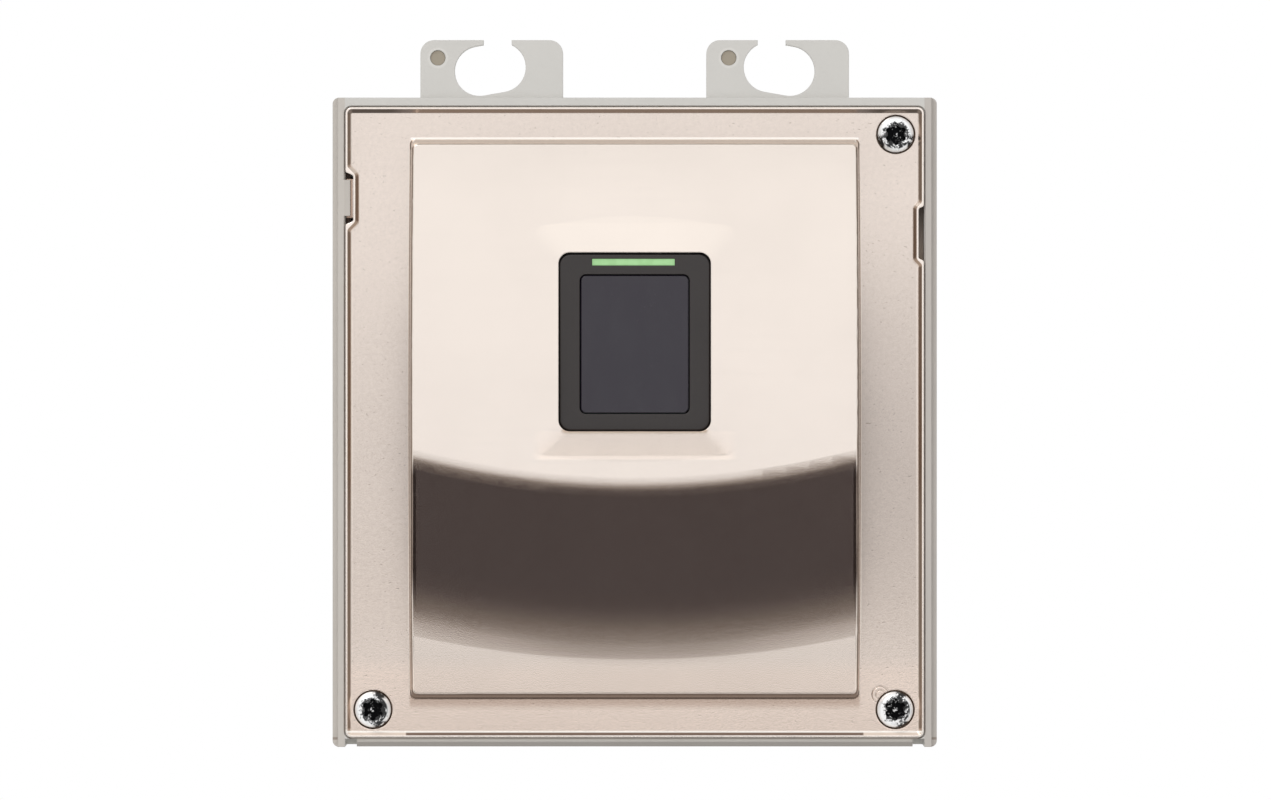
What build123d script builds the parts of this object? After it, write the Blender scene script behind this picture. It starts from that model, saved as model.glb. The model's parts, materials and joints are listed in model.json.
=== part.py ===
from build123d import *
from math import cos, radians, sin, sqrt, tan
import os

# Fingerprint scanner terminal: a door-station module with a plastic rear housing, a cast metal
# front plate, an optical fingerprint sensor in the plate and two circuit boards behind it.
# Millimetres. Origin at the centre of the rear mounting face, +Z up, the front looks along -Y.

# ---- driving dimensions -------------------------------------------------------------------
BODY_W, BODY_H, BODY_R = 97.0, 104.2, 1.0       # rear housing, seen from the front
FLOOR_T = 2.4                                   # rear wall
SIDE_STEP_W, SIDE_STEP_Y = 0.85, -20.4          # outer ledge along both sides
RIM_Y = -21.2                                   # front of the housing's rim
BAY_W, BAY_H, BAY_R = 93.3, 101.6, 1.2          # opening that takes the front plate
BAY_FIT, BAY_FIT_Y = 0.05, -20.7                # closer fit round the plate behind this depth
ROOM_W, ROOM_H = 91.0, 98.8                     # inside of the housing
SEAT_Y = -18.2                                  # ledge under the plate gasket
SHELF_Y, BEVEL_Y = -20.2, -18.9                 # lower rim: front of its shelf, back of its bevel

PLATE_W, PLATE_H, PLATE_R = 92.8, 101.1, 1.0
PLATE_BACK, FLANGE_Y, LIP_Y = -19.0, -21.0, -21.45
LIP_TOP_W, LIP_FOOT_W = 0.30, 0.92              # lip width at its top and at its foot
NOTCH_R, NOTCH_OUTER_R, NOTCH_OUTER_RUN = 0.8, 0.4, 0.45   # the lip is wider at its bends
LEFT_NOTCH = (-45.15, 32.3, 39.6)               # edge x, low z and high z of each side notch
RIGHT_NOTCH = (45.55, 26.3, 34.3)
TONGUE_X, TONGUE_Z = -45.65, (33.1, 38.9)       # housing hook over the plate's left edge
TONGUE_Y = -20.0
LEDGE_X, LEDGE_Y = -46.3, -19.9                 # plate ledge under the hook

PAD_HALF_W, PAD_TOP, PAD_BOTTOM, PAD_R = 35.95, 45.5, -44.3, 0.9
PAD_BULGE = 0.28                                # the pad's sides bow out by this much
PAD_H = 5.0                                     # height at which the pad's sides are drawn
PAD_DRAFT_X, PAD_DRAFT_Z = 0.45, 1.3            # how far the sides lean in over PAD_H
PAD_EDGE_R, PAD_FOOT_R = 0.4, 0.2
PAD_WALL = 2.2
ARC_Z, CREST_R = 131.6, 142.0                   # centre height and radius of the crest's arc
SCOOP_CURVE_R, SCOOP_END_R = 159.0, 169.6       # radii where the scoop starts to curve and ends flat
PAD_TOP_H, CREST_H = 3.4, 4.5                   # heights above the flange
SCOOP_SLOPE = 5.55                              # degrees
CREST_ROUND = 26.0
ARC_SWEEP = 66.0

SCREW_XZ = {"top_right": (41.9, 46.2), "bottom_right": (41.8, -46.1), "bottom_left": (-42.0, -46.1)}
HEAD_R, HEAD_H, HEAD_SIDE, HEAD_FLAT_R = 2.87, 2.1, 0.75, 2.1
SHANK_R, SHANK_L = 1.5, 9.6
RECESS_R, LOBE_R, RECESS_DEPTH = 1.32, 0.44, 1.3   # six-lobe recess
POST_R, POST_DROP = 0.42, 0.3                   # post in the middle of the recess
SINK_R, SINK_Y = 3.15, -19.6                    # counterbore round each head
HEAD_SEAT_Y = -19.92
BOSS_R, INSERT_R, INSERT_BORE_R, INSERT_L = 3.75, 2.1, 1.55, 5.8

TAB_IN, TAB_OUT, TAB_TOP, TAB_R = 11.5, 34.4, 61.35, 2.2
TAB_BACK, TAB_Y = -18.0, -20.6                  # the tabs stand just behind the front of the rim
HOOK_R = 4.0                                    # open hook slot in each tab
HOOK_OUT, HOOK_IN = (24.9, 56.4), (21.5, 57.0)
MOUTH_IN, MOUTH_OUT = 19.75, 24.25
PIN_XZ, PIN_R = ((-31.6, 58.5), (15.1, 58.5)), 1.2

SENSOR_Z = 12.88                                # height of the sensor's centre
OPENING_W, OPENING_H = 24.4, 28.65              # opening in the plate for the bezel
FRAME_OUT = (16.9, -5.8, 32.4)                  # low frame round it: half width, low z, high z
FRAME_STEPS = ((-0.3, -1.0), (-0.3, -0.0115), (0.1, 0.0138), (1.06, 0.134))
BEZEL_W, BEZEL_H, BEZEL_R, BEZEL_Z = 24.1, 28.25, 1.8, 12.78
BEZEL_Y, BEZEL_FLANGE_W, BEZEL_FLANGE_H = -24.65, 28.0, 32.4
WEB_Y = -22.3                                   # back of the metal round the bezel
GLASS_W, GLASS_H, GLASS_R = 17.4, 22.15, 0.9
GLASS_Z, GLASS_Y, GLASS_T, GLASS_GAP = 12.52, -24.45, 3.0, 0.12
BAR_X, BAR_Z, BAR_W, BAR_H = -0.2, 25.65, 13.2, 1.03
SENSOR_SCREW_XZ = [(sx * 16.9, SENSOR_Z + sz * 12.0) for sx in (-1, 1) for sz in (-1, 1)]
CARRIER_W, CARRIER_H, CARRIER_BACK = 37.6, 33.0, -10.4
SENSOR_BOARD_T = 1.2

BOARD_W, BOARD_H, BOARD_BACK, BOARD_T = 82.0, 91.0, -5.0, 1.6
BOARD_Y = BOARD_BACK - BOARD_T
BOARD_SCREW_XZ = [(sx * 36.0, sz * 37.0) for sx in (-1, 1) for sz in (-1, 1)]
HEADER_XZ = ((-15.0, 28.0), (15.0, 28.0))
HEADER_W, HEADER_H, HEADER_WALL, HEADER_END = 16.0, 9.0, 1.3, -0.4
GAP = 0.05                                      # running or assembly clearance


# ---- helpers ------------------------------------------------------------------------------
def layer(y):
    """Drawing plane that looks forward at depth y; its own axes are X and Z."""
    return Plane.XZ.offset(-y)


def prism(sketch, y_back, y_front):
    """A sketch drawn in X and Z, pulled forward from y_back to y_front."""
    return extrude(layer(y_back) * sketch, amount=y_back - y_front)


def slab(x_low, x_high, z_low, z_high, y_back, y_front):
    """A plain block between six limits."""
    middle = Pos((x_low + x_high) / 2, (z_low + z_high) / 2)
    return prism(middle * Rectangle(x_high - x_low, z_high - z_low), y_back, y_front)


def block(x, z, w, h, y_back, y_front, r=0.0):
    """A block centred on x, z, with its corners rounded by r."""
    shape = RectangleRounded(w, h, r) if r else Rectangle(w, h)
    return prism(Pos(x, z) * shape, y_back, y_front)


def rod(x, z, r, y_back, y_front):
    """A round bar along Y."""
    return prism(Pos(x, z) * Circle(r), y_back, y_front)


def rods(places, r, y_back, y_front):
    """The same round bar at several places."""
    return [rod(x, z, r, y_back, y_front) for x, z in places]


# ---- rear housing -------------------------------------------------------------------------
def hook_tab(side):
    """Top tab with an open hook slot; the left and right tabs mirror each other."""
    low_z = BAY_H / 2 + 0.2
    plate = Pos((TAB_IN + TAB_OUT) / 2, (low_z + TAB_TOP) / 2) * Rectangle(
        TAB_OUT - TAB_IN, TAB_TOP - low_z)
    plate = fillet(plate.vertices().group_by(Axis.Y)[-1], TAB_R)
    circles = Sketch() + [Pos(*HOOK_OUT) * Circle(HOOK_R), Pos(*HOOK_IN) * Circle(HOOK_R)]
    mouth_z = HOOK_IN[1]
    mouth = Pos((MOUTH_IN + MOUTH_OUT) / 2, mouth_z + HOOK_R) * Rectangle(
        MOUTH_OUT - MOUTH_IN, 2 * HOOK_R)
    tab = prism(plate - make_hull(circles.edges()) - mouth, TAB_BACK, TAB_Y)
    return tab if side > 0 else mirror(tab, Plane.YZ)


def rear_housing():
    half_w, half_h = BODY_W / 2, BODY_H / 2
    shelf_half, groove = 44.65, (44.65, 46.5)
    shell = block(0, 0, BODY_W, BODY_H, 0, SIDE_STEP_Y, BODY_R)
    shell += block(0, 0, BODY_W - 2 * SIDE_STEP_W, BODY_H, SIDE_STEP_Y, RIM_Y)
    shell -= block(0, 0, BAY_W, BAY_H, BAY_FIT_Y, RIM_Y - 1, BAY_R)
    shell -= block(0, 0, PLATE_W + 2 * BAY_FIT, PLATE_H + 2 * BAY_FIT, SEAT_Y, BAY_FIT_Y, PLATE_R)
    shell -= block(0, 0, ROOM_W, ROOM_H, -FLOOR_T, SEAT_Y - 1)
    # Lower rim: a step down between the corners and a bevel below it, with a drain groove at
    # each end.
    bay_low, bevel_z = -BAY_H / 2, -BAY_H / 2 - 0.5
    shell -= slab(-shelf_half, shelf_half, -half_h - 1, bay_low, SHELF_Y, RIM_Y - 1)
    bevel = make_face(Polyline((RIM_Y - 1, bevel_z), (SHELF_Y, bevel_z), (BEVEL_Y, -half_h),
                               (BEVEL_Y, -half_h - 1), (RIM_Y - 1, -half_h - 1), close=True))
    shell -= extrude(Plane.YZ * bevel, amount=shelf_half, both=True)
    for side in (-1, 1):
        x_low, x_high = sorted((side * groove[0], side * groove[1]))
        shell -= slab(x_low, x_high, -half_h - 1, bay_low, -15.0, RIM_Y - 1)
        shell -= slab(x_low, x_high, -half_h - 1, -half_h + 0.22, 1, RIM_Y - 1)
    # Bosses for the front screws, standoffs for the main board.
    for x, z in SCREW_XZ.values():
        shell += rod(x, z, BOSS_R, -FLOOR_T, PLATE_BACK)
        shell -= rod(x, z, INSERT_R + 0.02, PLATE_BACK + INSERT_L + 0.2, PLATE_BACK - 1)
        shell -= rod(x, z, SHANK_R + 0.25, HEAD_SEAT_Y + SHANK_L + 1, PLATE_BACK - 1)
    for x, z in BOARD_SCREW_XZ:
        shell += rod(x, z, 2.8, -FLOOR_T, BOARD_BACK)
        shell -= rod(x, z, 1.1, -1.0, BOARD_BACK - 1)
    # Stiffening ribs on the inside of the rear wall.
    for z in (-20.0, 0.0, 14.0):
        shell += slab(-ROOM_W / 2, ROOM_W / 2, z - 0.6, z + 0.6, -FLOOR_T, -3.8)
    for x, z in HEADER_XZ:
        shell -= block(x, z, HEADER_W + 1.4, HEADER_H + 1.4, 1, -FLOOR_T - 1, 0.6)
    # Rear face: a shallow relief leaves a flat bearing border and five round pads.
    relief = block(0, 0, BODY_W - 12, BODY_H - 12, 1, -0.3, 3.0)
    for x, z in BOARD_SCREW_XZ + [(0, 0)]:
        relief -= rod(x, z, 6.0, 2, -1)
    shell -= relief
    # Hook over the left edge of the plate.
    shell += slab(-BAY_W / 2 - 0.5, TONGUE_X, *TONGUE_Z, TONGUE_Y, RIM_Y)
    for side in (-1, 1):
        shell += hook_tab(side)
    for x, z in PIN_XZ:
        shell -= rod(x, z, PIN_R + 0.02, TAB_BACK - 0.6, TAB_Y - 1)
    return shell


def tab_pins():
    """Pressed locating pins, their ends just below the face of the tabs."""
    return Compound(children=rods(PIN_XZ, PIN_R, TAB_BACK - 0.6, TAB_Y + 0.3))


# ---- front plate --------------------------------------------------------------------------
def notch_points(edge_x, notch, inset):
    """The four corners of a side notch, from low to high, with the outline moved in."""
    floor_x, low, high = notch
    inward = -1 if edge_x > 0 else 1
    run = abs(edge_x - floor_x) * (1 if inset else NOTCH_OUTER_RUN)
    slide = inset * (sqrt(2) - 1)
    edge, floor = edge_x + inward * inset, floor_x + inward * inset
    return [(edge, low - run - slide), (floor, low - slide),
            (floor, high + slide), (edge, high + run + slide)]


def plate_outline(inset):
    """Outline of the plate with both side notches, moved inward by inset."""
    half_w, half_h = PLATE_W / 2, PLATE_H / 2
    x, z = half_w - inset, half_h - inset
    right = notch_points(half_w, RIGHT_NOTCH, inset)
    left = reversed(notch_points(-half_w, LEFT_NOTCH, inset))
    face = make_face(Polyline((-x, -z), (x, -z), *right, (x, z), (-x, z), *left, close=True))
    corners = [v for v in face.vertices() if abs(v.Y) > z - 0.01]
    face = fillet(corners, max(PLATE_R - inset, 0.2))
    bends = [v for v in face.vertices() if abs(v.Y) < z - 2 * PLATE_R]
    return fillet(bends, NOTCH_R if inset else NOTCH_OUTER_R)


def upper_slope():
    """Fall of the pad's upper part for each millimetre away from the crest."""
    return (CREST_H - PAD_TOP_H) / (CREST_R - (ARC_Z - PAD_TOP))


def crest_form(drop, clearance):
    """The pad's front surface as a solid: a shallow cone up to an arched crest, a steeper cone
    down from it and a curve that runs out flat. The profile turns about an axis along Y."""
    start_r, end_r = ARC_Z - PAD_TOP - 6.0, ARC_Z - PAD_BOTTOM + 8.0
    fall = radians(SCOOP_SLOPE)
    curve_radius = (SCOOP_END_R - SCOOP_CURVE_R) / sin(fall)
    bend_h = CREST_H - (SCOOP_CURVE_R - CREST_R) * tan(fall) - drop
    foot_h = bend_h - curve_radius * (1 - cos(fall))
    middle_r = SCOOP_END_R - curve_radius * sin(fall / 2)
    middle_h = foot_h + curve_radius * (1 - cos(fall / 2))
    start = (start_r, CREST_H - upper_slope() * (CREST_R - start_r) - drop)
    crest, bend, foot = (CREST_R, CREST_H - drop), (SCOOP_CURVE_R, bend_h), (SCOOP_END_R, foot_h)
    low = FLANGE_Y - PLATE_BACK - clearance
    profile = make_face([
        Polyline(start, crest, bend),
        ThreePointArc(bend, (middle_r, middle_h), foot),
        Polyline(foot, (end_r, foot_h), (end_r, low), (start_r, low), start),
    ])
    tip = profile.vertices().sort_by_distance((*crest, 0))[0]
    profile = fillet(tip, CREST_ROUND)
    radial = Plane(origin=(0, FLANGE_Y, ARC_Z), x_dir=(0, 0, -1), z_dir=(-1, 0, 0))
    axis = Axis((0, 0, ARC_Z), (0, 1, 0))
    return revolve((radial * profile).rotate(axis, -ARC_SWEEP / 2), axis, ARC_SWEEP)


def pad_outline(inset_x, inset_z):
    """Outline of the pad, its left and right sides slightly bowed, moved in by the insets."""
    x, low, high = PAD_HALF_W - inset_x, PAD_BOTTOM + inset_z, PAD_TOP - inset_z
    bow = (x + PAD_BULGE, (low + high) / 2)
    face = make_face([
        Line((-x, low), (x, low)), ThreePointArc((x, low), bow, (x, high)),
        Line((x, high), (-x, high)), ThreePointArc((-x, high), (-bow[0], bow[1]), (-x, low)),
    ])
    return fillet(face.vertices(), PAD_R)


def pad_block(inset, y_back):
    """The pad's four leaning sides, moved in by inset."""
    outline = pad_outline(inset, inset)
    tip = layer(FLANGE_Y - PAD_H) * pad_outline(inset + PAD_DRAFT_X, inset + PAD_DRAFT_Z)
    return loft([layer(FLANGE_Y) * outline, tip], ruled=True) + prism(outline, y_back, FLANGE_Y)


def pad():
    """The raised pad with its front edge rounded over."""
    form = pad_block(0, PLATE_BACK) & crest_form(0, 0)
    front = [f for f in form.faces() if f.normal_at(f.center()).Y < -0.9 and f.center().Y < FLANGE_Y - 1]
    rings = [e for f in front for e in f.edges()]
    outline = [e for e in rings if sum(e.center() == o.center() for o in rings) == 1]
    return fillet(outline, PAD_EDGE_R)


def sensor_frame():
    """Low raised frame round the sensor opening, on the slope of the pad. Its four sides rise
    gently from the outside in."""
    slope = upper_slope()
    surface_y = FLANGE_Y - CREST_H + slope * (SENSOR_Z - (ARC_Z - CREST_R))
    outer_half_w, outer_low, outer_high = FRAME_OUT
    inner_half_w, inner_half_h = OPENING_W / 2, OPENING_H / 2
    tilted = Plane(origin=(0, surface_y, SENSOR_Z), x_dir=(1, 0, 0), z_dir=(0, -1, slope))
    sections = []
    for share, height in FRAME_STEPS:
        half_w = outer_half_w + share * (inner_half_w - outer_half_w)
        low = outer_low - SENSOR_Z + share * (SENSOR_Z - inner_half_h - outer_low)
        high = outer_high - SENSOR_Z - share * (outer_high - SENSOR_Z - inner_half_h)
        outline = Pos(0, (low + high) / 2) * RectangleRounded(2 * half_w, high - low, BEZEL_R)
        sections.append(tilted.offset(height) * outline)
    return loft(sections, ruled=True)


def foot_edges(plate):
    """The edges where the pad's sides meet the flange."""
    level = [e for e in plate.edges() if abs(e.center().Y - FLANGE_Y) < 0.01]
    return [e for e in level if abs(e.center().X) < PAD_HALF_W + PAD_BULGE + 0.1
            and PAD_BOTTOM - 0.1 < e.center().Z < PAD_TOP + 0.1]


def front_plate():
    plate = prism(plate_outline(0), PLATE_BACK, LIP_Y)
    over = 0.05                                  # the dish starts this far in front of the lip
    lean = (LIP_FOOT_W - LIP_TOP_W) / (FLANGE_Y - LIP_Y)
    mouth = layer(LIP_Y - over) * plate_outline(LIP_TOP_W - lean * over)
    plate -= loft([layer(FLANGE_Y) * plate_outline(LIP_FOOT_W), mouth], ruled=True)
    plate += slab(LEDGE_X, LEFT_NOTCH[0] + 1, LEFT_NOTCH[1] + 0.5, LEFT_NOTCH[2] - 0.5,
                  PLATE_BACK, LEDGE_Y)
    plate += pad()
    plate = fillet(foot_edges(plate), PAD_FOOT_R)
    # Hollow behind the pad, with a solid frame left round the sensor.
    hollow = pad_block(PAD_WALL, PLATE_BACK + 1) & crest_form(PAD_WALL, 1)
    hollow -= block(0, SENSOR_Z, OPENING_W + 15.2, OPENING_H + 15.2, PLATE_BACK + 2, FLANGE_Y - PAD_H)
    plate -= hollow
    plate += sensor_frame()
    plate -= block(0, SENSOR_Z, OPENING_W, OPENING_H, PLATE_BACK + 1, FLANGE_Y - PAD_H, BEZEL_R)
    plate -= block(0, SENSOR_Z, BEZEL_FLANGE_W + 0.6, BEZEL_FLANGE_H + 0.6, PLATE_BACK + 1, WEB_Y, 1.0)
    for x, z in SENSOR_SCREW_XZ:
        plate -= rod(x, z, 1.0, PLATE_BACK + 1, PLATE_BACK - 3.2)
    for x, z in SCREW_XZ.values():
        plate -= rod(x, z, SINK_R, SINK_Y, LIP_Y - 1)
        plate -= rod(x, z, SHANK_R + 0.2, PLATE_BACK + 1, SINK_Y - 1)
    # Two shallow ejector rings beside the lower right screw.
    for r in (1.4, 0.8):
        ring = Pos(39.4, -43.7) * (Circle(r) - Circle(r - 0.16))
        plate -= prism(ring, FLANGE_Y + 0.1, FLANGE_Y - 0.2)
    return plate


def plate_gasket():
    """Rubber ring between the housing's ledge and the back of the plate."""
    ring = RectangleRounded(PLATE_W, PLATE_H, PLATE_R) - Rectangle(ROOM_W + 0.2, ROOM_H + 0.2)
    gasket = prism(ring, SEAT_Y, PLATE_BACK)
    for x, z in SCREW_XZ.values():
        gasket -= rod(x, z, BOSS_R + 0.1, SEAT_Y + 1, PLATE_BACK - 1)
    return gasket


# ---- front fasteners ----------------------------------------------------------------------
def front_screw(x, z):
    """Pan-head security screw: six-lobe recess with a post in the middle."""
    top_y = HEAD_SEAT_Y - HEAD_H
    shoulder_y = HEAD_SEAT_Y - HEAD_SIDE
    bow = radians(45)
    arc_mid = (HEAD_FLAT_R + (HEAD_R - HEAD_FLAT_R) * sin(bow),
               shoulder_y + (top_y - shoulder_y) * cos(bow))
    tip_y = HEAD_SEAT_Y + SHANK_L
    outline = make_face([
        Polyline((0, top_y), (HEAD_FLAT_R, top_y)),
        ThreePointArc((HEAD_FLAT_R, top_y), arc_mid, (HEAD_R, shoulder_y)),
        Polyline((HEAD_R, shoulder_y), (HEAD_R, HEAD_SEAT_Y), (SHANK_R, HEAD_SEAT_Y),
                 (SHANK_R, tip_y - 0.6), (SHANK_R - 0.5, tip_y), (0, tip_y), (0, top_y)),
    ])
    screw = revolve(outline, Axis.Y)
    lobes = Sketch() + Circle(RECESS_R)
    for turn in range(6):
        a = radians(60 * turn + 90)
        lobes += Pos(RECESS_R * cos(a), RECESS_R * sin(a)) * Circle(LOBE_R)
    screw -= prism(lobes, top_y + RECESS_DEPTH, top_y - 1)
    screw += rod(0, 0, POST_R, top_y + RECESS_DEPTH, top_y + POST_DROP)
    return Pos(x, 0, z) * screw


def threaded_inserts():
    """Brass inserts in the housing bosses."""
    tubes = [prism(Pos(x, z) * (Circle(INSERT_R) - Circle(INSERT_BORE_R)),
                   PLATE_BACK + INSERT_L, PLATE_BACK + 0.1) for x, z in SCREW_XZ.values()]
    return Compound(children=tubes)


def screw_seals():
    """Flat sealing rings under the front screw heads."""
    rings = [prism(Pos(x, z) * (Circle(2.6) - Circle(SHANK_R + 0.2)), SINK_Y, SINK_Y - 0.3)
             for x, z in SCREW_XZ.values()]
    return Compound(children=rings)


# ---- fingerprint sensor -------------------------------------------------------------------
def light_slot(extra):
    return Pos(BAR_X, BAR_Z) * Rectangle(BAR_W + extra, BAR_H + extra)


def sensor_bezel():
    bezel = block(0, BEZEL_Z, BEZEL_W, BEZEL_H, PLATE_BACK, BEZEL_Y, BEZEL_R)
    bezel = fillet(bezel.faces().sort_by(Axis.Y)[0].edges(), 0.25)
    bezel += block(0, SENSOR_Z, BEZEL_FLANGE_W, BEZEL_FLANGE_H, PLATE_BACK, WEB_Y + 0.5, 0.8)
    bezel -= block(0, GLASS_Z, GLASS_W + 2 * GLASS_GAP, GLASS_H + 2 * GLASS_GAP, PLATE_BACK + 1,
                   BEZEL_Y - 1, GLASS_R + GLASS_GAP)
    bezel -= prism(light_slot(0.1), PLATE_BACK + 1, BEZEL_Y - 1)
    return bezel


def bezel_gasket():
    ring = RectangleRounded(BEZEL_FLANGE_W, BEZEL_FLANGE_H, 0.8) - RectangleRounded(
        OPENING_W + 0.5, OPENING_H + 0.5, BEZEL_R)
    return prism(Pos(0, SENSOR_Z) * ring, WEB_Y + 0.5, WEB_Y)


def sensor_glass():
    glass = block(0, GLASS_Z, GLASS_W, GLASS_H, GLASS_Y + GLASS_T, GLASS_Y, GLASS_R)
    return chamfer(glass.faces().sort_by(Axis.Y)[0].edges(), 0.2)


def light_bar():
    """Light guide from the indicator LEDs to the slot in the bezel."""
    return prism(light_slot(0), CARRIER_BACK - 1.6, BEZEL_Y - 0.03)


def sensor_prism():
    """Glass wedge behind the platen, its back sloping towards the lens."""
    front_y = GLASS_Y + GLASS_T
    z_low, z_high = GLASS_Z - 10.6, GLASS_Z + 10.6
    side = make_face(Polyline((front_y, z_low), (front_y, z_high), (front_y + 4.5, z_high),
                              (front_y + 3.0, z_low), close=True))
    return extrude(Plane.YZ * side, amount=8.4, both=True)


def sensor_carrier():
    """Black chassis that clamps the bezel and shades the optics."""
    frame = block(0, SENSOR_Z, CARRIER_W, CARRIER_H, CARRIER_BACK, PLATE_BACK, 1.0)
    frame -= block(0, SENSOR_Z - 1.35, 23.0, 24.6, CARRIER_BACK + 1, PLATE_BACK - 1)
    frame -= block(0, BAR_Z, 15.0, BAR_H + 0.6, CARRIER_BACK + 1, PLATE_BACK - 1)
    for x, z in SENSOR_SCREW_XZ:
        frame -= rod(x, z, 1.15, CARRIER_BACK + 1, PLATE_BACK - 1)
    for side in (-1, 1):
        frame -= block(side * 16.2, SENSOR_Z, 3.6, 15.0, CARRIER_BACK + 1, PLATE_BACK + 1.5)
    return frame


def imaging_lens():
    """Lens barrel over the image chip."""
    barrel = rod(0, GLASS_Z, 3.4, CARRIER_BACK - 0.9, CARRIER_BACK - 3.2)
    barrel += rod(0, GLASS_Z, 2.4, CARRIER_BACK - 3.2, CARRIER_BACK - 4.4)
    return barrel - rod(0, GLASS_Z, 1.4, CARRIER_BACK - 3.9, CARRIER_BACK - 5)


def illuminator_leds():
    chips = [block(x, GLASS_Z - 8.0, 1.6, 1.2, CARRIER_BACK - 4.6, CARRIER_BACK - 5.4)
             for x in (-6.0, -2.0, 2.0, 6.0)]
    return Compound(children=chips)


def indicator_leds():
    chips = [block(x, BAR_Z, 2.0, 1.2, CARRIER_BACK, CARRIER_BACK - 1.1) for x in (-4.6, -0.2, 4.2)]
    return Compound(children=chips)


def sensor_board():
    board = block(0, SENSOR_Z, 38.8, 36.0, CARRIER_BACK + SENSOR_BOARD_T, CARRIER_BACK, 1.0)
    for x, z in SENSOR_SCREW_XZ:
        board -= rod(x, z, 1.15, 0, CARRIER_BACK - 1)
    return board


def sensor_screws():
    """Four long screws that hold board, carrier and bezel to the plate."""
    seat = CARRIER_BACK + SENSOR_BOARD_T
    screws = []
    for x, z in SENSOR_SCREW_XZ:
        screw = rod(x, z, 1.8, seat + 1.2, seat) + rod(x, z, 0.95, seat, PLATE_BACK - 2.8)
        screw -= block(x, z, 2.0, 0.45, seat + 2, seat + 0.6)
        screw -= block(x, z, 0.45, 2.0, seat + 2, seat + 0.6)
        screws.append(screw)
    return Compound(children=screws)


# ---- main board ---------------------------------------------------------------------------
def main_board():
    board = block(0, 0, BOARD_W, BOARD_H, BOARD_BACK, BOARD_Y, 1.0)
    for x, z in SCREW_XZ.values():
        board -= rod(x, z, BOSS_R + 0.6, 0, BOARD_Y - 1)
    for x, z in BOARD_SCREW_XZ:
        board -= rod(x, z, 1.35, 0, BOARD_Y - 1)
    return board


def board_screws():
    screws = []
    for x, z in BOARD_SCREW_XZ:
        screw = rod(x, z, 2.1, BOARD_Y, BOARD_Y - 1.6) + rod(x, z, 1.05, -1.4, BOARD_Y)
        screw -= block(x, z, 2.4, 0.55, BOARD_Y - 0.8, BOARD_Y - 2)
        screw -= block(x, z, 0.55, 2.4, BOARD_Y - 0.8, BOARD_Y - 2)
        screws.append(screw)
    return Compound(children=screws)


def shield_can():
    """Drawn sheet-metal can, open towards the board."""
    can = block(20, -24, 24, 18, BOARD_Y, BOARD_Y - 2.6, 1.0)
    return can - block(20, -24, 23.4, 17.4, BOARD_Y + 1, BOARD_Y - 2.3, 0.7)


def capacitors():
    cans = [rod(-29, z, 3.15, BOARD_Y, BOARD_Y - 7.7) for z in (10, 19, 28)]
    return Compound(children=cans)


def power_inductor():
    core = block(29, 12, 10, 10, BOARD_Y, BOARD_Y - 1.2, 1.5) + rod(29, 12, 3.4, BOARD_Y - 1.2, BOARD_Y - 3.6)
    return core + rod(29, 12, 4.8, BOARD_Y - 3.6, BOARD_Y - 4.6)


def chip_resistors():
    chips = [block(-36 + 3.2 * i, -6 - 3.0 * j, 1.6, 0.8, BOARD_Y, BOARD_Y - 0.45)
             for i in range(4) for j in range(2)]
    return Compound(children=chips)


def memory_chips():
    return Compound(children=[block(-29, z, 8, 11, BOARD_Y, BOARD_Y - 1.1) for z in (-16, -29)])


def flex_cable():
    """Ribbon between the two boards, with a little slack."""
    upper, lower = (-8.6, -4.6), (-7.4, -13.4)
    path = Spline(upper, (-9.6, -7.6), (-9.0, -11.0), lower, tangents=[(0, -1), (0, -1)])
    ribbon = trace(path, line_width=0.2)
    ribbon -= Pos(0, upper[1] + 1) * Rectangle(40, 2) + Pos(0, lower[1] - 1) * Rectangle(40, 2)
    return extrude(Plane.YZ * ribbon, amount=4.0, both=True)


def bus_headers():
    """Two shrouded headers that reach back through the rear wall."""
    shrouds = []
    for x, z in HEADER_XZ:
        shroud = block(x, z, HEADER_W, HEADER_H, HEADER_END, BOARD_BACK, 0.4)
        shroud -= block(x, z, HEADER_W - 2 * HEADER_WALL, HEADER_H - 2 * HEADER_WALL, 1, BOARD_BACK + 0.8)
        shroud -= block(x, z - HEADER_H / 2, 4.2, 2 * HEADER_WALL + 0.4, 1, BOARD_BACK + 1.6)
        shrouds.append(shroud)
    return Compound(children=shrouds)


def bus_header_pins():
    pitch = 2.54
    pins = [block(x + pitch * (i - 1.5), z + pitch * (j - 0.5), 0.64, 0.64, -1.0, BOARD_BACK + 0.8)
            for x, z in HEADER_XZ for i in range(4) for j in range(2)]
    return Compound(children=pins)


def connector_seals():
    ring = RectangleRounded(HEADER_W + 1.3, HEADER_H + 1.3, 0.55) - Rectangle(HEADER_W + 0.1, HEADER_H + 0.1)
    return Compound(children=[prism(Pos(x, z) * ring, -0.6, -2.2) for x, z in HEADER_XZ])


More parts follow.
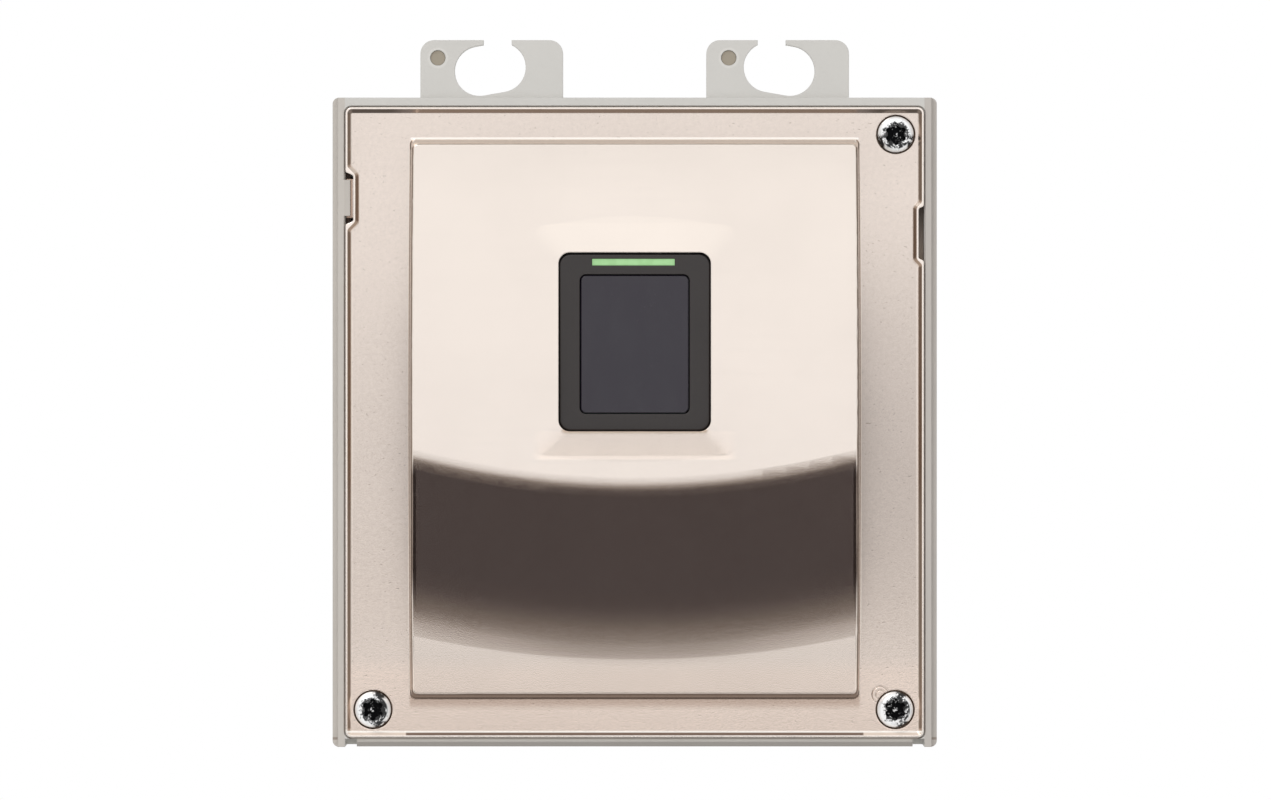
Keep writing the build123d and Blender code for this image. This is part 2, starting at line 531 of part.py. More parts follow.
# ---- export -------------------------------------------------------------------------------
NODES = {
    "rear_housing": rear_housing(),
    "tab_pins": tab_pins(),
    "front_plate": front_plate(),
    "plate_gasket": plate_gasket(),
    "threaded_inserts": threaded_inserts(),
    "screw_seals": screw_seals(),
    "sensor_bezel": sensor_bezel(),
    "bezel_gasket": bezel_gasket(),
    "sensor_glass": sensor_glass(),
    "light_bar": light_bar(),
    "sensor_prism": sensor_prism(),
    "sensor_carrier": sensor_carrier(),
    "imaging_lens": imaging_lens(),
    "image_chip": block(0, GLASS_Z, 7.0, 7.0, CARRIER_BACK, CARRIER_BACK - 0.9),
    "illuminator_board": block(0, GLASS_Z - 8.0, 16.0, 3.0, CARRIER_BACK - 3.8, CARRIER_BACK - 4.6),
    "illuminator_leds": illuminator_leds(),
    "indicator_leds": indicator_leds(),
    "sensor_board": sensor_board(),
    "sensor_screws": sensor_screws(),
    "sensor_flex_socket": block(0, -2.8, 10.0, 3.6, CARRIER_BACK + SENSOR_BOARD_T + 1.1,
                                CARRIER_BACK + SENSOR_BOARD_T),
    "flex_cable": flex_cable(),
    "main_flex_socket": block(0, -15.2, 10.0, 3.6, BOARD_Y, BOARD_Y - 1.3),
    "main_board": main_board(),
    "board_screws": board_screws(),
    "processor": block(-13, -25, 14.0, 14.0, BOARD_Y, BOARD_Y - 1.4),
    "memory_chips": memory_chips(),
    "shield_can": shield_can(),
    "capacitors": capacitors(),
    "power_inductor": power_inductor(),
    "voltage_regulator": block(29, 28, 6.6, 6.6, BOARD_Y, BOARD_Y - 2.3),
    "clock_crystal": block(-13, -38, 5.0, 3.2, BOARD_Y, BOARD_Y - 1.1),
    "chip_resistors": chip_resistors(),
    "bus_headers": bus_headers(),
    "bus_header_pins": bus_header_pins(),
    "connector_seals": connector_seals(),
}
for place, (screw_x, screw_z) in SCREW_XZ.items():
    NODES["front_screw_" + place] = front_screw(screw_x, screw_z)

os.makedirs("parts", exist_ok=True)
for name, shape in NODES.items():
    export_step(shape, "parts/" + name + ".step")
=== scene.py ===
"""Looks for the fingerprint scanner terminal: materials, light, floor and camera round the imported
frame. Lengths are metres, apart from the zones in the materials, which are millimetres. In each
material's function, s is the shader that is being built."""
import json
import math

import bpy
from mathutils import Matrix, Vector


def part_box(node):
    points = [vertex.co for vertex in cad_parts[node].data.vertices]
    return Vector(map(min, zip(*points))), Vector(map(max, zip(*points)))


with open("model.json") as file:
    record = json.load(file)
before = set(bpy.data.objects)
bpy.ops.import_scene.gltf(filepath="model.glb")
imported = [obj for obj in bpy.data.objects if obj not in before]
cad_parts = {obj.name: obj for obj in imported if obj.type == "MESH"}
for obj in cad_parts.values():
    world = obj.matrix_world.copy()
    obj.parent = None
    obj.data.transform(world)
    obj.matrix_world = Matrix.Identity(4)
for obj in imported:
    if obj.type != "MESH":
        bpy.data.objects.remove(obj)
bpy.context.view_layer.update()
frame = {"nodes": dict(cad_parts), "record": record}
NODES = frame["nodes"]
SCENE = bpy.context.scene
MM = 0.001

# Each front screw, and the way its painted dark side faces: degrees from +X towards +Z.
SCREWS = {"front_screw_top_right": -90, "front_screw_bottom_right": 0, "front_screw_bottom_left": 0}
BORE_R = 3.17 * MM               # reach of the painted shade in each screw's counterbore
ARC_CENTRE = (0.0, 131.6 * MM)   # centre in X and Z of the arcs of the pad's crest and scoop

CAMERA_REACH = 1.50              # lens to the front of the object
VIEW_WIDTH = 0.20338             # width seen at the front of the object
VIEW_SHIFT = 0.00013             # centre of the view right of the centre of the body
VIEW_LIFT = 0.003575             # centre of the view above the centre of the body
SENSOR_MM = 36.0
FLOOR_Z = -1.10                  # the object hangs well above the floor
FLOOR_SIZE = 16.0
KEY_PLACE = (-0.5, -0.7, 0.9)    # a soft lamp, high on the left
KEY_SIZE, KEY_WATTS = 0.6, 4.0

BLACK = (0.0, 0.0, 0.0)
NICKEL = (0.80, 0.722, 0.655)    # satin champagne nickel of the front plate
HOUSING_GREY = (0.590, 0.575, 0.545)


# ---- node trees ---------------------------------------------------------------------------
class Graph:
    """A node tree, built a node at a time."""

    def __init__(self, tree):
        self.tree = tree
        self.tree.nodes.clear()

    def feed(self, socket, value):
        """Link a socket to another one, or set it to a number, a vector or a colour."""
        if isinstance(value, bpy.types.NodeSocket):
            self.tree.links.new(value, socket)
        elif socket.type == "RGBA":
            socket.default_value = (*value, 1.0)
        else:
            socket.default_value = value

    def node(self, kind, inputs=None, **settings):
        made = self.tree.nodes.new(kind)
        for key, value in settings.items():
            setattr(made, key, value)
        for key, value in (inputs or {}).items():
            self.feed(made.inputs[key], value)
        return made

    def split(self, vector):
        """The three components of a vector."""
        return self.node("ShaderNodeSeparateXYZ", {0: vector}).outputs[:3]

    def maths(self, kind, a, b=0.0):
        return self.node("ShaderNodeMath", {0: a, 1: b}, operation=kind).outputs[0]

    def product(self, first, *others):
        for other in others:
            first = self.maths("MULTIPLY", first, other)
        return first

    def highest(self, first, *others):
        for other in others:
            first = self.maths("MAXIMUM", first, other)
        return first

    def flip(self, value):
        """1 where value is 0, and 0 where it is 1."""
        return self.maths("SUBTRACT", 1.0, value)

    def spread(self, value, low, high, to_low=0.0, to_high=1.0, smooth=True):
        """What lies from low to high, carried to the range from to_low to to_high."""
        limits = {"Value": value, "From Min": low, "From Max": high, "To Min": to_low, "To Max": to_high}
        kind = "SMOOTHSTEP" if smooth else "LINEAR"
        return self.node("ShaderNodeMapRange", limits, interpolation_type=kind).outputs[0]

    def ease(self, mask, at_0, at_1):
        """One number where a mask is 0, another where it is 1."""
        return self.spread(mask, 0.0, 1.0, at_0, at_1)

    def blend(self, factor, a, b, kind="MIX"):
        """Colour a where factor is 0, b where it is 1."""
        made = self.node("ShaderNodeMix", data_type="RGBA", blend_type=kind)
        for socket, value in ((0, factor), (6, a), (7, b)):
            self.feed(made.inputs[socket], value)
        return made.outputs[2]

    def shaded(self, colour, factor, by):
        """Colour multiplied by another where factor is 1."""
        return self.blend(factor, colour, by, "MULTIPLY")


class Shader(Graph):
    """One procedural material."""

    def __init__(self, name):
        self.material = bpy.data.materials.new(name)
        self.material.use_nodes = True
        super().__init__(self.material.node_tree)
        self.main = self.node("ShaderNodeBsdfPrincipled")
        self.node("ShaderNodeOutputMaterial", {"Surface": self.main.outputs[0]})
        self.place = self.node("ShaderNodeTexCoord").outputs["Object"]
        self.x, self.y, self.z = self.split(self.place)
        self.axes = {"x": self.x, "y": self.y, "z": self.z, "side": self.maths("ABSOLUTE", self.x)}

    def set(self, **values):
        """Set or link the surface's own sockets, such as Metallic or Coat_Weight."""
        for key, value in values.items():
            self.feed(self.main.inputs[key.replace("_", " ")], value)

    def zone(self, *masks, **ranges):
        """1 inside the masks and the ranges, 0 outside. A range is in millimetres along x, y, z,
        side (the distance from x = 0) or arc. Its first two numbers are a ramp up from 0 to 1. If
        it has four, the last two are a ramp down."""
        factors = list(masks)
        for axis, edges in ranges.items():
            edges = [edge * MM for edge in edges]
            factors.append(self.spread(self.axes[axis], edges[0], edges[1]))
            if len(edges) == 4:
                factors.append(self.spread(self.axes[axis], edges[3], edges[2]))
        return self.product(*factors)

    def marked(self, colour, marks):
        """Colour multiplied by the colour of each mark, where that mark's mask is 1."""
        for mask, by in marks:
            colour = self.shaded(colour, mask, by)
        return colour

    def reach(self, centre):
        """Distance in X and Z from the axis through centre."""
        across = self.maths("SUBTRACT", self.x, centre[0])
        along = self.maths("SUBTRACT", self.z, centre[1])
        squares = self.maths("ADD", self.maths("POWER", across, 2.0), self.maths("POWER", along, 2.0))
        return self.maths("SQRT", squares)

    def stretched(self, scale):
        """Object coordinates scaled along each axis."""
        return self.node("ShaderNodeMapping", {"Vector": self.place, "Scale": scale}).outputs[0]

    def noise(self, size, detail=2.0, rough=0.5, where=None):
        """Noise with features about size metres across, 0 to 1."""
        inputs = {"Vector": where or self.place, "Scale": 1.0 / size, "Detail": detail, "Roughness": rough}
        return self.node("ShaderNodeTexNoise", inputs).outputs["Fac"]

    def edge(self, radius):
        """A mask that is 1 on edges, and the normal with those edges rounded by radius."""
        rounded = self.node("ShaderNodeBevel", {"Radius": radius}, samples=4).outputs[0]
        flat = self.node("ShaderNodeNewGeometry").outputs["Normal"]
        dot = self.node("ShaderNodeVectorMath", {0: rounded, 1: flat}, operation="DOT_PRODUCT")
        return self.spread(dot.outputs["Value"], 0.995, 0.80), rounded

    def bump(self, height, distance, strength, under=None):
        inputs = {"Height": height, "Distance": distance, "Strength": strength}
        if under is not None:
            inputs["Normal"] = under
        self.set(Normal=self.node("ShaderNodeBump", inputs).outputs[0])


def tint(colour, factor):
    return tuple(c * factor for c in colour)


def middle(node):
    """Centre of a node's box in X and Z."""
    low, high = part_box(node)
    return (low.x + high.x) / 2, (low.z + high.z) / 2


# ---- front plate --------------------------------------------------------------------------
def plate_nickel(s, low, pits):
    """The nickel itself: clouds, faint streaks, and pin holes and mottling on its low parts."""
    cloud = s.noise(0.018, 3.0)
    streak = s.noise(0.0012, 3.0, where=s.stretched((0.05, 1.0, 1.0)))
    mottle = s.spread(s.noise(0.0007, 3.0, 0.7), 0.35, 0.70, 0.0, 0.035)
    colour = s.blend(s.spread(cloud, 0.3, 0.7), tint(NICKEL, 0.985), tint(NICKEL, 1.015))
    colour = s.blend(s.product(s.spread(streak, 0.45, 0.75), 0.08), colour, tint(NICKEL, 0.90))
    colour = s.blend(s.product(pits, s.ease(low, 0.06, 0.14)), colour, tint(NICKEL, 0.55))
    return s.shaded(colour, s.product(low, mottle), BLACK)


def plate_steep_shade(s, wall, up):
    """Painted shade that the steep faces take, lighter on those that face up. wall is 1 on the pad's side
    and bottom walls, and up is how far a face looks up, from -1 to 1."""
    facing_up = s.spread(up, 0.2, 0.5)
    steep_shade = s.blend(facing_up, (0.50, 0.41, 0.345), (0.88, 0.85, 0.82))
    # The painted shade is lighter at the foot of the lip's slopes along both sides.
    steep_shade = s.blend(s.zone(y=(-21.15, -21.08), side=(44.0, 44.2)), steep_shade, (0.95, 0.91, 0.88))
    # Painted shade: the pad's walls are darker on the right and darkest at the bottom. The side walls
    # are lighter next to the flange.
    side_wall = s.blend(s.zone(x=(-10, 10)), (0.48, 0.41, 0.36), (0.36, 0.30, 0.26))
    wall_shade = s.blend(s.zone(z=(-42.8, -43.2)), side_wall, (0.24, 0.19, 0.165))
    wall_shade = s.blend(s.zone(y=(-23.0, -21.6), z=(-43.2, -42.8)), wall_shade, (0.92, 0.86, 0.82))
    steep_shade = s.blend(wall, steep_shade, wall_shade)
    # Painted shade makes the top lip's inner slope greyer, blackest towards its ends.
    lip = s.blend(s.zone(side=(36.0, 39.5)), (0.52, 0.465, 0.44), (0.28, 0.25, 0.23))
    return s.blend(s.zone(s.flip(facing_up), z=(49.4, 49.6)), steep_shade, lip)


def plate_shade(s, colour):
    """Painted shade: the flange is darker at mid height, most on the right and in the corner beside
    the pad, where the pad's walls shade it. The plate's top is a little darker too."""
    mid_height = s.zone(z=(-46, -12, -6, 46), side=(36.2, 36.5, 45.0, 45.4))
    # painted shade on the flange at mid height, most on the right
    darkened = s.product(mid_height, s.spread(s.x, -10 * MM, 10 * MM, 0.08, 0.26))
    open_to_air = s.node("ShaderNodeAmbientOcclusion", {"Distance": 0.010}, samples=8, only_local=True)
    corner = s.product(s.spread(open_to_air.outputs["AO"], 1.0, 0.0, smooth=False),
                       s.ease(mid_height, 0.08, 0.60))
    top = s.spread(s.z, 34 * MM, 46 * MM, 0.0, 0.05)
    return s.marked(colour, ((darkened, BLACK), (corner, BLACK), (top, BLACK)))


def plate_light_shade_and_grime(s, colour, low):
    """Painted light and shade, and grime in the ejector rings."""
    pad = s.flip(low)
    towards_foot = s.spread(s.z, -1.5 * MM, -5.6 * MM, 0.35, 1.0)
    return s.marked(colour, (
        # painted light: the low parts are a shade pinker, and the plate is paler towards the bottom
        (low, (0.985, 0.963, 0.950)),
        (s.zone(z=(-37, -41)), (1.06, 1.03, 1.01)),
        (s.zone(low, z=(-28, -44)), (1.10, 1.11, 1.12)),
        # painted light on the lower slope of the frame round the sensor, most along its foot
        (s.zone(towards_foot, z=(-6.2, -5.8, -1.6, -1.2), side=(16.8, 14.5)), (1.10, 1.08, 1.06)),
        # soft painted shadow under the bezel and under the pad
        (s.zone(z=(-2.1, -1.3, -1.2, -1.0), side=(12.0, 11.2)), (0.66, 0.58, 0.50)),
        (s.zone(low, z=(-46.4, -44.8, -44.0, -43.5), side=(36.4, 35.8)), (0.72, 0.67, 0.63)),
        # painted shade along the foot of the scoop
        (s.zone(pad, arc=(165.0, 167.2, 168.4, 171.2), side=(30, 8)), (0.82, 0.81, 0.80)),
        # painted shade: below the crest the pad's rounded side edges are darker
        (s.zone(arc=(142.0, 145.0, 159.0, 166.0), side=(34.95, 35.10, 35.75, 35.85)), (0.40, 0.36, 0.34)),
        # dirt in the ejector rings
        (s.zone(y=(-20.98, -20.94, -20.8, -20.6), side=(38.5, 38.0), z=(-30, -35)), (0.62, 0.55, 0.50)),
    ))


def plate_rims(s, colour, steep, low, foot_line):
    """Painted highlights run along the lip's top and along the inner foot of its bottom side. Painted
    shade makes the pad's top wall browner, and a painted highlight runs along its foot."""
    # painted highlights along the lip's top and along the foot of its bottom side
    lip_top = s.zone(s.flip(steep), y=(-21.6, -21.5, -21.38, -21.30))
    lip_foot = s.zone(z=(-49.85, -49.75, -49.55, -49.45))
    bright = s.blend(s.zone(z=(-49.0, -49.5)), tint(NICKEL, 1.12), (1.0, 0.94, 0.87))
    colour = s.blend(s.highest(lip_top, lip_foot), colour, bright)
    # painted shade on the pad's top wall, then a painted highlight along its foot
    top_wall = s.zone(s.flip(low), z=(44.75, 44.85, 45.30, 45.40), side=(35.8, 35.5))
    colour = s.shaded(colour, top_wall, (0.77, 0.80, 0.81))
    return s.blend(foot_line, colour, (1.0, 0.95, 0.89))


def plate_recess_shade(s, colour):
    """Painted shade in the left notch and in the counterbores."""
    # painted shade in the left notch
    notch = s.zone(x=(-45.25, -45.35), y=(-20.7, -20.5), z=(31.0, 31.5, 40.5, 41.1))
    colour = s.shaded(colour, notch, (0.55, 0.45, 0.39))
    for screw in SCREWS:
        near = s.spread(s.reach(middle(screw)), BORE_R + 0.05 * MM, BORE_R - 0.05 * MM)
        colour = s.shaded(colour, s.zone(near, y=(-21.0, -20.7)), (0.12, 0.09, 0.07))
    return colour


def plate_metal():
    """Satin champagne nickel over blasted casting, with painted shade on steep faces and in hollows,
    painted light and highlights, and grime in the ejector rings. The pad's walls, the lip's bottom
    slopes and the painted bright line along the top wall's foot mirror less."""
    s = Shader("plate_metal_look")
    s.axes["arc"] = s.reach(ARC_CENTRE)
    grain = s.noise(0.00022, 3.0, 0.65)
    pits = s.spread(s.noise(0.00045, 1.0, 0.3), 0.27, 0.21)
    _, ahead, up = s.split(s.node("ShaderNodeNewGeometry").outputs["True Normal"])
    steep = s.spread(s.maths("ABSOLUTE", ahead), 0.97, 0.90)
    # The flange and the lip, the pad below its top wall, the foot of that wall, and the slopes of
    # the lip's bottom side.
    low = s.zone(y=(-22.2, -21.5))
    wall = s.zone(side=(36.8, 36.6), z=(44.0, 43.5))
    foot_line = s.zone(z=(45.34, 45.44, 45.66, 45.76), side=(36.1, 35.8))
    bottom_slope = s.zone(steep, z=(-49.0, -49.3), y=(-20.95, -21.05))
    colour = s.shaded(plate_nickel(s, low, pits), steep, plate_steep_shade(s, wall, up))
    colour = plate_light_shade_and_grime(s, plate_shade(s, colour), low)
    colour = plate_recess_shade(s, plate_rims(s, colour, steep, low, foot_line))
    hazy = s.highest(s.product(steep, wall, 0.2), s.product(bottom_slope, 0.8), s.product(foot_line, 0.7))
    s.set(Base_Color=colour, Roughness=s.spread(grain, 0.3, 0.7, 0.12, 0.16), Metallic=s.flip(hazy))
    height = s.maths("ADD", s.product(grain, 0.6), s.product(pits, s.ease(low, -0.2, -0.6)))
    s.bump(height, 0.000012, 0.45, s.edge(0.00022)[1])
    return s.material


# ---- front screws -------------------------------------------------------------------------
def screw_painted_dark(s, node, turn, crumbs):
    """1 where a screw is painted black for dark reflection and shade: its ragged recess, all but the post,
    and one side.
    """
    centre, top_y = middle(node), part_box(node)[0].y
    away = s.reach(centre)
    cosine, sine = math.cos(math.radians(turn)), math.sin(math.radians(turn))
    across, along = s.maths("SUBTRACT", s.x, centre[0]), s.maths("SUBTRACT", s.z, centre[1])
    ahead = s.maths("ADD", s.product(across, cosine), s.product(along, sine))
    aside = s.maths("ABSOLUTE", s.maths("SUBTRACT", s.product(along, cosine), s.product(across, sine)))
    ragged = s.spread(s.noise(0.00080, 4.0, 0.8), 0.32, 0.68, -0.75 * MM, 0.75 * MM, smooth=False)
    # Patches of painted dark reflection cover one half, all but a bright crescent at its rim.
    crescent = s.product(s.spread(away, 2.25 * MM, 2.45 * MM), s.spread(aside, 2.0 * MM, 1.7 * MM))
    half = s.spread(s.maths("ADD", ahead, ragged), 0.05 * MM, 0.25 * MM)
    dark_reflection = s.product(half, s.flip(crescent), s.spread(s.noise(0.0008, 4.0, 0.75), 0.58, 0.54))
    # Painted shade blackens the recess out to a ragged edge, with painted glints away from its middle.
    glints = s.product(s.spread(s.noise(0.00050, 3.0, 0.8), 0.60, 0.63), s.spread(away, 0.5 * MM, 1.0 * MM))
    solid = s.ease(glints, 1.0, 0.10)
    recess = s.product(s.spread(s.maths("ADD", away, ragged), 1.95 * MM, 1.87 * MM), solid)
    sunk = s.spread(s.y, top_y + 0.04 * MM, top_y + 0.12 * MM)
    below = s.product(s.spread(away, 1.90 * MM, 1.85 * MM), sunk, solid)
    post = s.product(s.spread(away, 0.50 * MM, 0.40 * MM),
                     s.spread(s.y, top_y + 0.40 * MM, top_y + 0.35 * MM),
                     s.spread(crumbs, 0.52, 0.60, 0.0, 0.8))
    return s.product(s.highest(s.product(dark_reflection, 0.96), s.product(recess, 0.93), below), s.flip(post))


def screw_metal(node, turn):
    """Bright nickel head, painted black in its recess and over one side for dark reflection and shade. turn
    is the way that dark side faces.
    """
    s = Shader(node + "_look")
    crumbs = s.noise(0.0004, 2.0, 0.6)
    spots = s.noise(0.0007, 3.0, 0.6)
    edge, soft = s.edge(0.0001)
    black = screw_painted_dark(s, node, turn, crumbs)
    colour = s.blend(s.product(s.spread(spots, 0.55, 0.8), 0.3), (0.98, 0.98, 0.98), (0.72, 0.72, 0.73))
    # the edges are paler, partly rubbed and partly a painted edge highlight
    colour = s.blend(s.product(edge, 0.5), colour, (1.0, 1.0, 1.0))
    s.set(Base_Color=s.blend(black, colour, (0.005, 0.005, 0.006)),
          Roughness=s.ease(black, 0.16, 0.5),
          Metallic=s.ease(black, 0.30, 0.9))
    s.bump(s.maths("ADD", crumbs, black), 0.00001, 0.5, soft)
    return s.material


# ---- plastics and rubber ------------------------------------------------------------------
def moulded_plastic(name, base, rough, grain_size=0.00035, edge_wear_and_highlight=(0.08, 1.25), mottle=0.03, marks=None):
    """Injection-moulded plastic: eroded grain, slow colour drift and paler edges, partly rubbed and
    partly a painted edge highlight. edge_wear_and_highlight says how much the edges are paled and how
    pale they get. marks(s, colour) adds what only one part has."""
    s = Shader(name)
    cloud, fleck = s.noise(0.011, 4.0), s.noise(0.0009, 2.0)
    grain = s.noise(grain_size, 3.0, 0.6)
    edge, soft = s.edge(0.0002)
    colour = s.blend(s.spread(cloud, 0.3, 0.7), tint(base, 1 - mottle), tint(base, 1 + mottle))
    colour = s.blend(s.product(s.spread(fleck, 0.55, 0.75), 0.12), colour, tint(base, 0.85))
    colour = s.blend(s.product(edge, edge_wear_and_highlight[0]), colour, tint(base, edge_wear_and_highlight[1]))
    if marks:
        colour = marks(s, colour)
    s.set(Base_Color=colour, Roughness=s.spread(grain, 0.3, 0.7, rough - 0.05, rough + 0.07))
    s.bump(grain, 0.00001, 0.5, soft)
    return s.material


def housing_marks(s, colour):
    """Painted light and shade on the front of the housing, a darker hook over the plate, and a paler ring
    round each pin.
    """
    front = s.zone(y=(-18.8, -19.0))
    side_shade = s.blend(s.zone(x=(-10, 10)), (0.90, 0.86, 0.83), (0.84, 0.80, 0.78))
    lower_rim = s.zone(side=(44.7, 44.6), y=(-17.5, -18.6))
    colour = s.marked(colour, (
        # both side rims are a shade darker and warmer, the right one more: painted shade. The hook over the
        # plate is darker.
        (s.zone(front, side=(46.4, 46.6), z=(52.4, 52.2)), side_shade),
        (s.zone(front, x=(-46.6, -46.5, -44.6, -44.3), z=(29, 30, 42, 43)), (0.86, 0.82, 0.79)),
        # painted shadow in the gap under the plate
        (s.zone(y=(-20.95, -20.8, -20.4, -20.1), z=(-51.0, -50.9, -50.6, -50.5)), (0.62, 0.56, 0.52)),
        # painted light on the lower rim's shelf, and painted shade on the bevel under it
        (s.zone(lower_rim, z=(-50.4, -50.6)), (1.12, 1.10, 1.08)),
        (s.zone(lower_rim, z=(-51.2, -51.4)), (0.50, 0.48, 0.47)),
    ))
    low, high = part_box("tab_pins")
    pin_z, radius = (low.z + high.z) / 2, (high.z - low.z) / 2
    for pin_x in (low.x + radius, high.x - radius):
        away = s.reach((pin_x, pin_z))
        ring = s.product(s.spread(away, radius, radius + 0.2 * MM),
                         s.spread(away, radius + 0.6 * MM, radius + 0.3 * MM))
        colour = s.blend(s.product(ring, 0.35), colour, tint(HOUSING_GREY, 1.25))
    return colour


def light_guide():
    """Milky light guide lit green from behind, brightest along its middle."""
    s = Shader("light_guide_look")
    low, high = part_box("light_bar")
    centre_x, centre_z = middle("light_bar")
    half_x, half_z = (high.x - low.x) / 2, (high.z - low.z) / 2
    off_x = s.maths("ABSOLUTE", s.maths("SUBTRACT", s.x, centre_x))
    off_z = s.maths("ABSOLUTE", s.maths("SUBTRACT", s.z, centre_z))
    fade = s.product(s.spread(off_x, half_x, half_x * 0.9, 0.6, 1.0),
                     s.spread(off_z, half_z, half_z * 0.35, 0.55, 1.0))
    milk = s.spread(s.noise(0.0012, 3.0), 0.3, 0.7, 0.94, 1.04)
    s.set(Base_Color=s.blend(s.spread(milk, 0.94, 1.04), (0.20, 0.40, 0.17), (0.23, 0.44, 0.20)),
          Emission_Color=s.blend(s.product(fade, milk), (0.03, 0.07, 0.02), (0.36, 0.545, 0.285)),
          Emission_Strength=0.44, Roughness=0.35, IOR=1.49)
    s.bump(s.noise(0.0003), 0.000003, 0.3)
    return s.material


def rubber():
    """Dark seal rubber with a bloom. Painted light makes it paler in the right-hand notch, most at its
    foot, and it is brown in the left-hand one."""
    s = Shader("rubber_look")
    grain = s.noise(0.00018, 2.0)
    bloom = s.spread(s.noise(0.0016, 4.0), 0.4, 0.8)
    # painted light in the right-hand notch, most at its foot
    dust_and_light = s.zone(s.spread(s.z, 34 * MM, 27 * MM, 0.35, 1.0), z=(20, 24), x=(44, 45))
    colour = s.blend(bloom, (0.018, 0.017, 0.016), (0.045, 0.043, 0.040))
    colour = s.blend(dust_and_light, colour, (0.42, 0.36, 0.31))
    colour = s.blend(s.zone(x=(-44, -45), z=(29, 30, 42, 43)), colour, (0.15, 0.115, 0.095))
    s.set(Base_Color=colour, Roughness=s.spread(grain, 0.3, 0.7, 0.62, 0.80))
    s.bump(grain, 0.00001, 0.5)
    return s.material


# ---- glass, metals and boards -------------------------------------------------------------
def platen_glass():
    """Coated optical glass: dark, bluish, faintly smeared and dusty. Its rim has a painted highlight on
    the right and along the bottom."""
    s = Shader("platen_glass_look")
    base = (0.013, 0.009, 0.018)
    low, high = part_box("sensor_glass")
    smear = s.noise(0.004, 4.0, 0.6, where=s.stretched((1.0, 1.0, 0.35)))
    dust_and_light = s.spread(s.noise(0.00035, 1.0), 0.72, 0.80)
    # painted highlight along the rim's bottom and right side
    rim = s.highest(s.spread(s.z, low.z + 0.30 * MM, low.z + 0.15 * MM),
                    s.spread(s.x, high.x - 0.20 * MM, high.x - 0.10 * MM))
    colour = s.blend(s.spread(smear, 0.35, 0.7), tint(base, 0.95), tint(base, 1.06))
    colour = s.blend(s.product(rim, 0.5), colour, (0.10, 0.10, 0.105))
    colour = s.blend(s.product(dust_and_light, 0.12), colour, (0.2, 0.2, 0.2))
    s.set(Base_Color=colour, Roughness=s.spread(smear, 0.3, 0.75, 0.16, 0.26),
          IOR=1.5, Coat_Weight=0.3, Coat_Roughness=0.06)
    s.bump(smear, 0.000002, 0.3, s.edge(0.00015)[1])
    return s.material


def clear_glass():
    """Optical glass with ground edges."""
    s = Shader("optical_glass_look")
    haze = s.noise(0.002, 3.0)
    edge, soft = s.edge(0.0003)
    s.set(Base_Color=s.blend(edge, (0.86, 0.93, 0.92), (0.75, 0.80, 0.80)),
          Roughness=s.spread(s.maths("ADD", haze, edge), 0.3, 1.4, 0.02, 0.35),
          IOR=1.52, Transmission_Weight=0.9)
    s.bump(haze, 0.000002, 0.2, soft)
    return s.material


def turned_metal(name, base, rough, darkened=None):
    """Plated or turned metal with hairline scratches and a few dull spots."""
    s = Shader(name)
    hair = s.noise(0.00025, 2.0, where=s.stretched((1.0, 1.0, 0.12)))
    spots = s.noise(0.0007, 3.0, 0.6)
    edge, soft = s.edge(0.0001)
    colour = s.blend(s.product(s.spread(spots, 0.55, 0.8), 0.5), base, darkened or tint(base, 0.6))
    # the edges are paler, partly rubbed and partly a painted edge highlight
    colour = s.blend(s.product(edge, 0.5), colour, tint(base, 1.12))
    s.set(Base_Color=colour, Roughness=s.spread(spots, 0.4, 0.8, rough, rough + 0.13), Metallic=1.0)
    s.bump(hair, 0.000006, 0.4, soft)
    return s.material


def circuit_board():
    """Green solder mask over copper: traces show as slightly raised, lighter lines."""
    s = Shader("board_look")
    bricks = {"Vector": s.stretched((260.0, 260.0, 260.0)), "Mortar Size": 0.06, "Scale": 1.0,
              "Brick Width": 2.6, "Row Height": 0.5}
    line = s.spread(s.node("ShaderNodeTexBrick", bricks).outputs["Fac"], 0.2, 0.8)
    weave = s.noise(0.0006, 2.0)
    colour = s.blend(line, (0.015, 0.13, 0.065), (0.05, 0.24, 0.11))
    colour = s.blend(s.product(s.spread(weave, 0.4, 0.7), 0.3), colour, (0.02, 0.09, 0.05))
    s.set(Base_Color=colour, Roughness=s.spread(weave, 0.3, 0.7, 0.22, 0.36))
    s.bump(line, 0.00003, 0.5)
    return s.material


